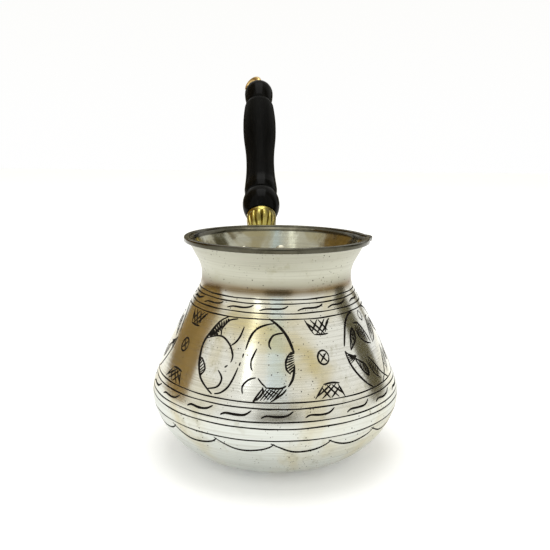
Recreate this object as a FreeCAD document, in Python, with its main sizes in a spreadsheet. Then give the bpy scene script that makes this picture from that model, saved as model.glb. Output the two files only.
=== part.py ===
import FreeCAD, Part
import math
import os
import Sketcher
from FreeCAD import Placement, Rotation, Vector

# A cezve: a tinned copper pot with a turned wooden handle on a riveted brass bracket.
# Frame: millimetres, +Z up, origin at the centre of the pot's base.  The handle stands in the
# plane x = -handle_offset and leaves towards +Y; the pouring spout is on the +X side of the rim.

SIZES = {
    # pot wall, outer surface
    "pot_height": 80.7,
    "belly_radius": 46.0,
    "belly_height": 23.3,
    "base_radius": 24.0,
    "bottom_arc": 27.5,
    "heel_arc": 15.0,
    "belly_arc": 15.5,
    "shoulder_arc": 230.0,
    "neck_radius": 27.5,
    "neck_drop": 13.7,
    "neck_arc": 11.5,
    "flare_angle": 28.0,
    "wall": 1.2,
    # folded lip
    "lip_height": 2.0,
    "lip_width": 2.0,
    "lip_proud": 0.75,
    # pouring spout: a cone sunk into the flare
    "spout_depth": 10.6,
    "spout_lean": 13.0,
    "spout_flank": 23.0,
    "spout_length": 14.0,
    # bracket plate and its rivets
    "plate_thickness": 1.8,
    "ear_radius": 4.2,
    "rivet_spread": 15.0,
    "upper_rivet_lift": 0.8,
    "lower_rivet_drop": 10.2,
    "rivet_radius": 1.6,
    "fixing_clearance": 0.02,
    "rivet_head_rim": 1.4,
    "rivet_head_height": 1.5,
    "rivet_peen_rim": 0.76,
    "rivet_peen_height": 0.75,
    # handle axis: where the wood meets the cup, out and up from the lip's edge, and its rise
    "handle_offset": 4.4,
    "handle_clear": 15.6,
    "handle_lift": 2.4,
    "handle_rise": 42.0,
    # bracket arm: how far it stands out of the neck before it bends, and the bend's share of the rest
    "arm_radius": 3.3,
    "arm_out": 1.2,
    "arm_bend_share": 0.99,
    "boss_radius": 4.1,
    "boss_length": 3.6,
    # brass cup
    "cup_length": 10.5,
    "cup_wall": 1.8,
    "cup_waist": 2.2,
    "cup_lip_step": 0.2,
    "cup_foot_radius": 3.9,
    "tenon_radius": 4.6,
    "tenon_length": 6.0,
    "tenon_clearance": 0.1,
    # wooden grip, along the handle axis from the cup
    "bulb_foot_step": 0.1,
    "bulb_swell": 1.6,
    "bulb_half": 6.2,
    "bulb_top": 5.2,
    "groove_width": 0.9,
    "groove_depth": 0.5,
    "ring_swell": 0.25,
    "ring_rise": 2.9,
    "ring_fall": 2.4,
    "waist_radius": 6.45,
    "waist_from_ring": 13.4,
    "swell_gain": 1.5,
    "swell_from_waist": 27.5,
    "shoulder_from_swell": 15.7,
    "grip_end_step": 1.45,
    "grip_shoulder": 7.0,
    "ball_gap": 2.0,
    "ball_neck_step": 1.2,
    "ball_start_step": 0.9,
    "ball_low_half": 7.3,
    "ball_radius": 7.1,
    "hook_seat_rim": 0.2,
    # steel rod
    "rod_radius": 2.0,
    "rod_clearance": 0.15,
    "rod_hold": 3.0,
    # brass hook
    "hook_flange_rim": 0.6,
    "hook_flange_thickness": 1.1,
    "hook_shank_wall": 0.7,
    "hook_shank_length": 5.5,
    "hook_thread_length": 4.0,
    "hook_wire_radius": 1.45,
    "hook_bend": 3.6,
    "hook_stem": 4.4,
    "hook_turn": 40.0,
}

doc = FreeCAD.newDocument("cezve")
sheet = doc.addObject("Spreadsheet::Sheet", "Sizes")
for row, (alias, value) in enumerate(SIZES.items(), start=1):
    sheet.set("A%d" % row, alias)
    sheet.set("B%d" % row, str(value))
    sheet.setAlias("B%d" % row, alias)

# places that follow from the sizes above, each as a formula in the sheet
DERIVED = {
    "neck_height": "=pot_height - neck_drop",
    "flare_rise": "=pot_height - neck_height - neck_arc * sin(flare_angle * 1 deg)",
    "mouth_radius": "=neck_radius + neck_arc * (1 - cos(flare_angle * 1 deg))"
                    " + flare_rise * tan(flare_angle * 1 deg)",
    "rim_radius": "=mouth_radius + lip_proud",
    "handle_reach": "=rim_radius + handle_clear",
    "handle_level": "=pot_height + handle_lift",
    "arm_bend": "=arm_bend_share / sin(handle_rise * 1 deg) * (handle_reach - neck_radius - arm_out"
                " - (cup_length + boss_length) * cos(handle_rise * 1 deg))",
    "arm_knee": "=neck_radius + arm_out + arm_bend * tan(handle_rise * 0.5 deg)",
    "arm_level": "=handle_level - (handle_reach - arm_knee) * tan(handle_rise * 1 deg)",
    "upper_rivet_height": "=arm_level + upper_rivet_lift",
    "lower_rivet_height": "=arm_level - lower_rivet_drop",
    "rivet_head_radius": "=rivet_radius + rivet_head_rim",
    "cup_radius": "=tenon_radius + tenon_clearance + cup_wall",
    "cup_lip_radius": "=cup_radius - cup_lip_step",
    "bulb_foot_radius": "=cup_radius + bulb_foot_step",
    "bulb_radius": "=bulb_foot_radius + bulb_swell",
    "bulb_end": "=bulb_half + bulb_top",
    "ring_start": "=bulb_end + groove_width",
    "ring_middle": "=ring_start + ring_rise",
    "ring_end": "=ring_middle + ring_fall",
    "waist_place": "=ring_end + waist_from_ring",
    "swell_radius": "=waist_radius + swell_gain",
    "swell_place": "=waist_place + swell_from_waist",
    "long_sweep": "=(swell_gain ^ 2 + swell_from_waist ^ 2) / (4 * swell_gain)",
    "grip_end": "=swell_place + shoulder_from_swell",
    "grip_end_radius": "=swell_radius - grip_end_step",
    "ball_start": "=grip_end + ball_gap",
    "ball_middle": "=ball_start + ball_low_half",
    "ball_start_radius": "=ball_radius - ball_start_step",
    "ball_neck_radius": "=ball_radius - ball_neck_step",
    "hook_shank_radius": "=rod_radius + fixing_clearance + hook_shank_wall",
    "hook_flange_radius": "=hook_shank_radius + hook_flange_rim",
    "hook_seat_radius": "=hook_flange_radius + hook_seat_rim",
    "hook_seat": "=ball_middle + sqrt(ball_radius ^ 2 - hook_seat_radius ^ 2)",
    "hook_shank_end": "=hook_seat - hook_shank_length",
    "hook_thread_end": "=hook_shank_end + hook_thread_length",
}
for row, (alias, formula) in enumerate(DERIVED.items(), start=len(SIZES) + 2):
    sheet.set("A%d" % row, alias)
    sheet.set("B%d" % row, formula)
    sheet.setAlias("B%d" % row, alias)
doc.recompute()


def size(name):
    return float(getattr(sheet, name))


def cell(name):
    return "Sizes." + name


# ---------------------------------------------------------------- geometry of the pot's wall

def circles_meet(centre_a, radius_a, centre_b, radius_b, left):
    """Where two circles cross; left picks the crossing to the left of the way from a to b."""
    way = centre_b - centre_a
    gap = way.Length
    along = (radius_a ** 2 - radius_b ** 2 + gap ** 2) / (2 * gap)
    aside = math.sqrt(radius_a ** 2 - along ** 2)
    way.normalize()
    side = Vector(-way.y, way.x, 0)
    return centre_a + way * along + side * (aside if left else -aside)


def toward(start, end, length):
    way = end - start
    way.normalize()
    return start + way * length


def wall_arcs(inset):
    """The tangent arcs of the wall's outline, moved in by inset, as (radius, height) points."""
    heel = Vector(size("belly_radius") - size("heel_arc"), size("belly_height"), 0)
    belly = Vector(size("belly_radius") - size("belly_arc"), size("belly_height"), 0)
    neck = Vector(size("neck_radius") + size("neck_arc"), size("neck_height"), 0)
    foot = Vector(size("base_radius") - inset, inset, 0)
    heel_arc = size("heel_arc") - inset
    bottom_arc = size("bottom_arc") - inset
    belly_arc = size("belly_arc") - inset
    shoulder_arc = size("shoulder_arc") - inset
    neck_arc = size("neck_arc") + inset
    bottom = circles_meet(heel, bottom_arc - heel_arc, foot, bottom_arc, False)
    shoulder = circles_meet(belly, shoulder_arc - belly_arc, neck, shoulder_arc + neck_arc, True)
    flare = math.radians(size("flare_angle"))
    flare_start = neck + Vector(-math.cos(flare), math.sin(flare), 0) * neck_arc
    return {
        "foot": foot,
        "bottom": (bottom, bottom_arc),
        "bottom_end": toward(bottom, heel, bottom_arc),
        "heel": (heel, heel_arc),
        "heel_end": Vector(size("belly_radius") - inset, size("belly_height"), 0),
        "belly": (belly, belly_arc),
        "belly_end": toward(shoulder, belly, shoulder_arc),
        "shoulder": (shoulder, shoulder_arc),
        "shoulder_end": toward(shoulder, neck, shoulder_arc),
        "neck": (neck, neck_arc),
        "neck_end": flare_start,
        "flare": flare,
    }


def wall_seat(height):
    """Radius of the outer wall at a height of the neck, and its outward normal (out, up)."""
    arcs = wall_arcs(0)
    if height > arcs["neck_end"].y:
        tall = height - arcs["neck_end"].y
        slope = arcs["flare"]
        return arcs["neck_end"].x + tall * math.tan(slope), Vector(math.cos(slope), -math.sin(slope), 0)
    if height > arcs["shoulder_end"].y:
        centre, radius = arcs["neck"]
        tall = height - centre.y
        out = math.sqrt(radius ** 2 - tall ** 2)
        return centre.x - out, Vector(out, -tall, 0) / radius
    centre, radius = arcs["shoulder"]
    tall = height - centre.y
    out = math.sqrt(radius ** 2 - tall ** 2)
    return centre.x + out, Vector(out, tall, 0) / radius


# ---------------------------------------------------------------- drawing helpers

def new_body(name):
    body = doc.addObject("PartDesign::Body", name)
    body.Label = name
    return body


def origin_plane(body, role):
    return next(item for item in body.Origin.OriginFeatures if item.Role == role)


def new_sketch(body, role, name, offset=None):
    sketch = body.newObject("Sketcher::SketchObject", name)
    sketch.AttachmentSupport = [(origin_plane(body, role), "")]
    sketch.MapMode = "FlatFace"
    if offset is not None:
        sketch.AttachmentOffset = offset
    return sketch


class Outline:
    """A closed outline in a sketch, drawn segment by segment, with its sizes bound to the sheet."""

    def __init__(self, sketch, start):
        self.sketch = sketch
        self.place = start
        self.first = None
        self.last = None

    def join(self, near_end, far_end, smooth):
        if self.last is not None:
            kind = "Tangent" if smooth else "Coincident"
            self.sketch.addConstraint(Sketcher.Constraint(kind, *self.last, *near_end))
        else:
            self.first = near_end
        self.last = far_end

    def line(self, end, smooth=False):
        index = self.sketch.addGeometry(Part.LineSegment(self.place, end), False)
        self.join((index, 1), (index, 2), smooth)
        self.place = end
        return index

    def arc(self, centre, end, clockwise=False, smooth=True):
        circle = Part.Circle(centre, Vector(0, 0, 1), (end - centre).Length)
        here = math.atan2(self.place.y - centre.y, self.place.x - centre.x)
        there = math.atan2(end.y - centre.y, end.x - centre.x)
        angles = (there, here) if clockwise else (here, there)
        index = self.sketch.addGeometry(Part.ArcOfCircle(circle, *angles), False)
        near_end, far_end = ((index, 2), (index, 1)) if clockwise else ((index, 1), (index, 2))
        self.join(near_end, far_end, smooth)
        self.place = end
        return index

    def close(self):
        self.sketch.addConstraint(Sketcher.Constraint("Coincident", *self.last, *self.first))

    def level(self, *indices):
        for index in indices:
            self.sketch.addConstraint(Sketcher.Constraint("Horizontal", index))

    def upright(self, *indices):
        for index in indices:
            self.sketch.addConstraint(Sketcher.Constraint("Vertical", index))

    def on_origin(self, index, end):
        self.sketch.addConstraint(Sketcher.Constraint("Coincident", index, end, -1, 1))

    def on_axis(self, index, end):
        self.sketch.addConstraint(Sketcher.Constraint("PointOnObject", index, end, -2))

    def measure(self, kind, name, expression, value, *where):
        number = self.sketch.addConstraint(Sketcher.Constraint(kind, *where, value))
        self.sketch.renameConstraint(number, name)
        self.sketch.setExpression("Constraints." + name, expression)

    def across(self, name, expression, index, end):
        point = self.sketch.getPoint(index, end)
        self.measure("DistanceX", name, expression, point.x, -1, 1, index, end)

    def up(self, name, expression, index, end):
        point = self.sketch.getPoint(index, end)
        self.measure("DistanceY", name, expression, point.y, -1, 1, index, end)

    def radius(self, name, expression, index):
        self.measure("Radius", name, expression, self.sketch.Geometry[index].Radius, index)


def turn(body, kind, name, sketch, angle=360.0):
    feature = body.newObject("PartDesign::" + kind, name)
    feature.Profile = (sketch, [""])
    feature.ReferenceAxis = (sketch, ["V_Axis"])
    feature.Angle = angle
    doc.recompute()
    return feature


def cut_volume(body, before):
    """A cut has to take material away: one that points the wrong way shows no error."""
    doc.recompute()
    if body.Shape.Volume > before - 1e-3:
        raise RuntimeError("%s: the last cut removed nothing" % body.Label)
    return body.Shape.Volume


# ---------------------------------------------------------------- pot body

def wall_outline(sketch, inset, inset_cell, top, top_cell):
    """Half section of the pot up to a level top, moved in from the outer wall by inset."""
    arcs = wall_arcs(inset)
    less = "" if inset_cell is None else " - " + inset_cell
    more = "" if inset_cell is None else " + " + inset_cell
    rise = top - arcs["neck_end"].y
    rim = arcs["neck_end"] + Vector(math.tan(arcs["flare"]) * rise, rise, 0)
    shape = Outline(sketch, Vector(0, arcs["foot"].y, 0))
    base = shape.line(arcs["foot"])
    bottom = shape.arc(arcs["bottom"][0], arcs["bottom_end"], smooth=False)
    heel = shape.arc(arcs["heel"][0], arcs["heel_end"])
    belly = shape.arc(arcs["belly"][0], arcs["belly_end"])
    shoulder = shape.arc(arcs["shoulder"][0], arcs["shoulder_end"])
    neck = shape.arc(arcs["neck"][0], arcs["neck_end"], clockwise=True)
    flare = shape.line(rim, smooth=True)
    mouth = shape.line(Vector(0, top, 0))
    axis = shape.line(Vector(0, arcs["foot"].y, 0))
    shape.close()
    shape.level(base, mouth)
    shape.upright(axis)
    if inset_cell is None:
        shape.on_origin(base, 1)
    else:
        shape.on_axis(base, 1)
        shape.up("floor", inset_cell, base, 1)
    shape.across("base_radius", cell("base_radius") + less, base, 2)
    shape.radius("bottom_arc", cell("bottom_arc") + less, bottom)
    shape.radius("heel_arc", cell("heel_arc") + less, heel)
    shape.across("heel_centre", cell("belly_radius") + " - " + cell("heel_arc"), heel, 3)
    shape.up("heel_level", cell("belly_height"), heel, 3)
    shape.radius("belly_arc", cell("belly_arc") + less, belly)
    shape.up("belly_level", cell("belly_height"), belly, 3)
    shape.radius("shoulder_arc", cell("shoulder_arc") + less, shoulder)
    shape.radius("neck_arc", cell("neck_arc") + more, neck)
    shape.across("neck_centre", cell("neck_radius") + " + " + cell("neck_arc"), neck, 3)
    shape.up("neck_level", cell("neck_height"), neck, 3)
    lean = math.radians(90) - arcs["flare"]
    shape.measure("Angle", "flare_rise", "90 deg - " + cell("flare_angle") + " * 1 deg", lean, flare)
    shape.up("mouth_level", top_cell, flare, 2)


def spout_placement(back):
    """The spout cone's frame: its point on the flare, its axis leaning out; back moves it up."""
    lean = math.radians(size("spout_lean"))
    height = size("pot_height") - size("spout_depth")
    point = Vector(wall_seat(height)[0], 0, height)
    axis = Vector(math.sin(lean), 0, math.cos(lean))
    return Placement(point + axis * back, Rotation(Vector(0, 1, 0), size("spout_lean")))


def add_cone(body, kind, name, back, skin):
    cone = body.newObject("PartDesign::" + kind, name)
    cone.Placement = spout_placement(back)
    cone.Radius1 = 0.2
    flank = "tan(" + cell("spout_flank") + " * 1 deg)"
    reach = "(" + cell("spout_length") + skin + ")"
    cone.setExpression("Radius2", "0.2 mm + 1 mm * " + reach + " * " + flank)
    cone.setExpression("Height", cell("spout_length") + skin)
    doc.recompute()
    return cone


def make_pot():
    body = new_body("pot_body")
    outside = new_sketch(body, "XZ_Plane", "OuterWall")
    wall_outline(outside, 0, None, size("pot_height"), cell("pot_height"))
    turn(body, "Revolution", "SpunSolid", outside)

    add_cone(body, "AdditiveCone", "SpoutOutside", 0, "")

    lip = new_sketch(body, "XZ_Plane", "LipSection")
    inner = size("rim_radius") - size("lip_width")
    half = size("lip_height") / 2
    top = size("pot_height")
    shape = Outline(lip, Vector(inner, top - 2 * half, 0))
    under = shape.line(Vector(size("rim_radius") - half, top - 2 * half, 0))
    bead = shape.arc(Vector(size("rim_radius") - half, top - half, 0),
                     Vector(size("rim_radius") - half, top, 0))
    over = shape.line(Vector(inner, top, 0), smooth=True)
    back = shape.line(Vector(inner, top - 2 * half, 0))
    shape.close()
    shape.level(under)
    shape.upright(back)
    shape.across("lip_back", cell("rim_radius") + " - " + cell("lip_width"), under, 1)
    shape.radius("lip_bead", cell("lip_height") + " / 2", bead)
    shape.across("lip_middle", cell("rim_radius") + " - " + cell("lip_height") + " / 2", bead, 3)
    shape.up("lip_top", cell("pot_height"), over, 2)
    shape.level(over)
    turn(body, "Revolution", "FoldedLip", lip)

    trim = new_sketch(body, "XY_Plane", "AboveRim")
    trim.setExpression("AttachmentOffset.Base.z", cell("pot_height"))
    disc = trim.addGeometry(Part.Circle(Vector(0, 0, 0), Vector(0, 0, 1), 2 * size("rim_radius")), False)
    trim.addConstraint(Sketcher.Constraint("Coincident", disc, 3, -1, 1))
    trim.addConstraint(Sketcher.Constraint("Radius", disc, 2 * size("rim_radius")))
    trim.setExpression("Constraints[1]", "2 * " + cell("rim_radius"))
    volume = body.Shape.Volume
    level = body.newObject("PartDesign::Pocket", "LevelRim")
    level.Profile = (trim, [""])
    level.setExpression("Length", cell("spout_length"))
    level.Reversed = True
    volume = cut_volume(body, volume)

    inside = new_sketch(body, "XZ_Plane", "InnerWall")
    wall_outline(inside, size("wall"), cell("wall"), size("pot_height") + size("wall"),
                 cell("pot_height") + " + " + cell("wall"))
    turn(body, "Groove", "Hollow", inside)
    volume = cut_volume(body, volume)

    skin = size("wall") / math.sin(math.radians(size("spout_flank")))
    shorter = " - " + cell("wall") + " / sin(" + cell("spout_flank") + " * 1 deg)"
    add_cone(body, "SubtractiveCone", "SpoutInside", skin, shorter)
    volume = cut_volume(body, volume)
    drill_rivet_holes(body, volume)
    return body


# ---------------------------------------------------------------- rivet places

def rivet_places():
    """Frames on the outer wall, Z along the wall's outward normal: two upper rivets, one lower."""
    half = size("rivet_spread") / 2
    middle = -size("handle_offset")
    spots = [
        (middle - half, size("upper_rivet_height")),
        (middle + half, size("upper_rivet_height")),
        (middle, size("lower_rivet_height")),
    ]
    places = []
    for across, height in spots:
        radius, normal = wall_seat(height)
        along = math.sqrt(radius ** 2 - across ** 2)
        out = Vector(across, along, 0) / radius
        aim = out * normal.x + Vector(0, 0, normal.y)
        places.append(Placement(Vector(across, along, height), Rotation(Vector(0, 0, 1), aim)))
    return places


def drill_rivet_holes(body, volume):
    for number, place in enumerate(rivet_places(), start=1):
        hole = body.newObject("PartDesign::SubtractiveCylinder", "RivetHole%d" % number)
        hole.setExpression("Radius", cell("rivet_radius") + " + " + cell("fixing_clearance"))
        depth = size("wall") * 3
        hole.Placement = place.multiply(Placement(Vector(0, 0, -depth), Rotation()))
        hole.setExpression("Height", "3 * " + cell("wall") + " + 3 * " + cell("plate_thickness"))
        volume = cut_volume(body, volume)


# ---------------------------------------------------------------- handle frame

def place_on_handle(item):
    """Puts an object's own Z axis on the handle's axis, its origin where wood meets cup."""
    item.Placement = Placement(Vector(0, 0, 0), Rotation(Vector(-1, 0, 0), 90 - size("handle_rise")))
    item.setExpression("Placement.Base.x", "-" + cell("handle_offset"))
    item.setExpression("Placement.Base.y", cell("handle_reach"))
    item.setExpression("Placement.Base.z", cell("handle_level"))
    item.setExpression("Placement.Rotation.Angle", "90 deg - " + cell("handle_rise") + " * 1 deg")


def on_handle(along):
    """A point on the handle's axis, in the pot's frame."""
    rise = math.radians(size("handle_rise"))
    start = Vector(-size("handle_offset"), size("handle_reach"), size("handle_level"))
    return start + Vector(0, math.cos(rise), math.sin(rise)) * along


# ---------------------------------------------------------------- bracket

def neck_strip(sketch, inset, less, more, straight, straight_cell):
    """Section between the wall's line at the neck, moved in by inset, and a straight upright."""
    low_cell = cell("neck_height") + " - 2 * " + cell("neck_arc")
    low = size("neck_height") - 2 * size("neck_arc")
    high = size("pot_height")
    arcs = wall_arcs(inset)
    centre, radius = arcs["shoulder"]
    start = Vector(centre.x + math.sqrt(radius ** 2 - (low - centre.y) ** 2), low, 0)
    rise = high - arcs["neck_end"].y
    top = arcs["neck_end"] + Vector(math.tan(arcs["flare"]) * rise, rise, 0)
    shape = Outline(sketch, start)
    shoulder = shape.arc(centre, arcs["shoulder_end"])
    neck = shape.arc(arcs["neck"][0], arcs["neck_end"], clockwise=True)
    flare = shape.line(top, smooth=True)
    over = shape.line(Vector(straight, high, 0))
    side = shape.line(Vector(straight, low, 0))
    under = shape.line(start)
    shape.close()
    shape.level(over, under)
    shape.radius("shoulder_arc", cell("shoulder_arc") + less, shoulder)
    sketch_centre_of_shoulder(shape, shoulder)
    shape.radius("neck_arc", cell("neck_arc") + more, neck)
    shape.across("neck_centre", cell("neck_radius") + " + " + cell("neck_arc"), neck, 3)
    shape.up("neck_level", cell("neck_height"), neck, 3)
    lean = math.radians(90) - arcs["flare"]
    shape.measure("Angle", "flare_rise", "90 deg - " + cell("flare_angle") + " * 1 deg", lean, flare)
    shape.up("high", cell("pot_height"), over, 1)
    shape.up("low", low_cell, under, 2)
    shape.upright(side)
    if straight_cell is None:
        shape.on_axis(side, 1)
    else:
        shape.across("far", straight_cell, side, 1)


def sketch_centre_of_shoulder(shape, shoulder):
    """The shoulder's arc is held by the belly's arc, which the strip draws as a guide line."""
    sketch = shape.sketch
    belly = wall_arcs(0)["belly"][0]
    centre = wall_arcs(0)["shoulder"][0]
    guide = sketch.addGeometry(Part.LineSegment(centre, belly), True)
    sketch.addConstraint(Sketcher.Constraint("Coincident", guide, 1, shoulder, 3))
    shape.across("belly_centre", cell("belly_radius") + " - " + cell("belly_arc"), guide, 2)
    shape.up("belly_level", cell("belly_height"), guide, 2)
    shape.measure("Distance", "guide_length", cell("shoulder_arc") + " - " + cell("belly_arc"),
                  (centre - belly).Length, guide)


def shield_outline(sketch):
    """The plate seen from behind: three round ears about the rivets, joined by tangent lines."""
    half = size("rivet_spread") / 2
    middle = -size("handle_offset")
    ear = size("ear_radius")
    spots = [
        Vector(middle, size("lower_rivet_height"), 0),
        Vector(middle + half, size("upper_rivet_height"), 0),
        Vector(middle - half, size("upper_rivet_height"), 0),
    ]
    half_cell = cell("rivet_spread") + " / 2"
    cells = [
        ("-" + cell("handle_offset"), cell("lower_rivet_height")),
        ("-" + cell("handle_offset") + " + " + half_cell, cell("upper_rivet_height")),
        ("-" + cell("handle_offset") + " - " + half_cell, cell("upper_rivet_height")),
    ]
    outward = []
    for number, spot in enumerate(spots):
        way = spots[(number + 1) % 3] - spot
        way.normalize()
        outward.append(Vector(way.y, -way.x, 0) * ear)
    shape = Outline(sketch, spots[0] + outward[0])
    for number in range(3):
        following = (number + 1) % 3
        shape.line(spots[following] + outward[number], smooth=number > 0)
        arc = shape.arc(spots[following], spots[following] + outward[following])
        shape.radius("ear_%d" % following, cell("ear_radius"), arc)
        shape.across("ear_across_%d" % following, cells[following][0], arc, 3)
        shape.up("ear_level_%d" % following, cells[following][1], arc, 3)
    sketch.addConstraint(Sketcher.Constraint("Tangent", *shape.last, *shape.first))


def make_bracket():
    body = new_body("handle_bracket")
    rise = math.radians(size("handle_rise"))
    shield = new_sketch(body, "XZ_Plane", "Shield")
    shield.setExpression("AttachmentOffset.Base.z", "-" + cell("neck_radius") + " / 2")
    shield_outline(shield)
    pad = body.newObject("PartDesign::Pad", "ShieldBlock")
    pad.Profile = (shield, [""])
    pad.setExpression("Length", cell("rim_radius"))
    pad.Reversed = True
    doc.recompute()
    volume = body.Shape.Volume

    face = new_sketch(body, "XZ_Plane", "PlateFace")
    thick = cell("plate_thickness")
    neck_strip(face, -size("plate_thickness"), " + " + thick, " - " + thick,
               3 * size("rim_radius"), "3 * " + cell("rim_radius"))
    turn(body, "Groove", "TrimOutside", face)
    cut_volume(body, volume)

    # the arm leaves the plate level and bends up into the handle's axis
    root = size("cup_length") + size("boss_length")
    bend = size("arm_bend")
    inside = Vector(size("neck_radius") / 2, size("arm_level"), 0)
    start = Vector(size("neck_radius") + size("arm_out"), size("arm_level"), 0)
    centre = start + Vector(0, bend, 0)
    end = centre + Vector(math.sin(rise), -math.cos(rise), 0) * bend
    boss_middle = root - size("boss_length") / 2
    tip = Vector(size("handle_reach") - boss_middle * math.cos(rise),
                 size("handle_level") - boss_middle * math.sin(rise), 0)
    spine = new_sketch(body, "YZ_Plane", "ArmLine")
    spine.setExpression("AttachmentOffset.Base.z", "-" + cell("handle_offset"))
    path = Outline(spine, inside)
    level = path.line(start)
    arc = path.arc(centre, end)
    rising = path.line(tip, smooth=True)
    path.level(level)
    path.radius("arm_bend", cell("arm_bend"), arc)
    path.across("arm_start", cell("neck_radius") + " / 2", level, 1)
    path.up("arm_level", cell("arm_level"), level, 1)
    path.across("arm_out", cell("neck_radius") + " + " + cell("arm_out"), level, 2)
    path.measure("Angle", "arm_rise", cell("handle_rise") + " * 1 deg", rise, rising)
    path.across("arm_tip", cell("handle_reach") + " - (" + cell("cup_length") + " + " + cell("boss_length")
                + " / 2) * cos(" + cell("handle_rise") + " * 1 deg)", rising, 2)

    section = new_sketch(body, "XZ_Plane", "ArmSection")
    section.setExpression("AttachmentOffset.Base.z", "-" + cell("neck_radius") + " / 2")
    ring = section.addGeometry(
        Part.Circle(Vector(-size("handle_offset"), start.y, 0), Vector(0, 0, 1), size("arm_radius")), False)
    shape = Outline(section, Vector(0, 0, 0))
    shape.radius("arm_radius", cell("arm_radius"), ring)
    shape.across("arm_across", "-" + cell("handle_offset"), ring, 3)
    shape.up("arm_level", cell("arm_level"), ring, 3)
    doc.recompute()
    arm = body.newObject("PartDesign::AdditivePipe", "Arm")
    arm.Profile = (section, [""])
    arm.Spine = (spine, ["Edge1", "Edge2", "Edge3"])
    doc.recompute()

    boss = body.newObject("PartDesign::AdditiveCylinder", "Boss")
    boss.setExpression("Radius", cell("boss_radius"))
    boss.setExpression("Height", cell("boss_length"))
    boss.Placement = Placement(on_handle(-root), Rotation(Vector(-1, 0, 0), 90 - size("handle_rise")))
    doc.recompute()
    volume = body.Shape.Volume

    seat = new_sketch(body, "XZ_Plane", "PlateSeat")
    neck_strip(seat, 0, "", "", 0, None)
    turn(body, "Groove", "FitToWall", seat)
    volume = cut_volume(body, volume)

    thread = body.newObject("PartDesign::SubtractiveCylinder", "RodThread")
    thread.setExpression("Radius", cell("rod_radius") + " + " + cell("fixing_clearance"))
    thread.setExpression("Height", cell("boss_length"))
    depth = size("rod_hold") + size("rod_clearance")
    thread.Placement = Placement(on_handle(-size("cup_length") - depth),
                                 Rotation(Vector(-1, 0, 0), 90 - size("handle_rise")))
    volume = cut_volume(body, volume)
    drill_rivet_holes(body, volume)
    return body


# ---------------------------------------------------------------- pieces turned about the handle's axis

def make_cup():
    body = new_body("handle_cup")
    place_on_handle(body)
    sketch = new_sketch(body, "XZ_Plane", "CupSection")
    bore = size("rod_radius") + size("rod_clearance")
    socket = size("tenon_radius") + size("tenon_clearance")
    floor = -size("tenon_length") - size("tenon_clearance")
    foot = Vector(size("cup_foot_radius"), -size("cup_length"), 0)
    widest = Vector(size("cup_radius"), -size("cup_waist"), 0)
    drop = size("cup_length") - size("cup_waist")
    gain = size("cup_radius") - size("cup_foot_radius")
    sweep = (gain ** 2 + drop ** 2) / (2 * gain)
    shape = Outline(sketch, Vector(bore, foot.y, 0))
    under = shape.line(foot)
    side = shape.arc(widest - Vector(sweep, 0, 0), widest, smooth=False)
    lip = shape.line(Vector(size("cup_lip_radius"), 0, 0))
    rim = shape.line(Vector(socket, 0, 0))
    wall = shape.line(Vector(socket, floor, 0))
    step = shape.line(Vector(bore, floor, 0))
    hole = shape.line(Vector(bore, foot.y, 0))
    shape.close()
    shape.level(under, rim, step)
    shape.upright(wall, hole)
    shape.across("bore", cell("rod_radius") + " + " + cell("rod_clearance"), under, 1)
    shape.up("foot_level", "-" + cell("cup_length"), under, 2)
    shape.across("foot_radius", cell("cup_foot_radius"), under, 2)
    shape.across("cup_radius", cell("cup_radius"), side, 2)
    shape.up("cup_waist", "-" + cell("cup_waist"), side, 2)
    shape.up("sweep_level", "-" + cell("cup_waist"), side, 3)
    shape.across("lip_radius", cell("cup_lip_radius"), lip, 2)
    sketch.addConstraint(Sketcher.Constraint("PointOnObject", lip, 2, -1))
    shape.across("socket", cell("tenon_radius") + " + " + cell("tenon_clearance"), wall, 1)
    shape.up("floor", "-" + cell("tenon_length") + " - " + cell("tenon_clearance"), step, 1)
    turn(body, "Revolution", "CupTurned", sketch)
    return body


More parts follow.
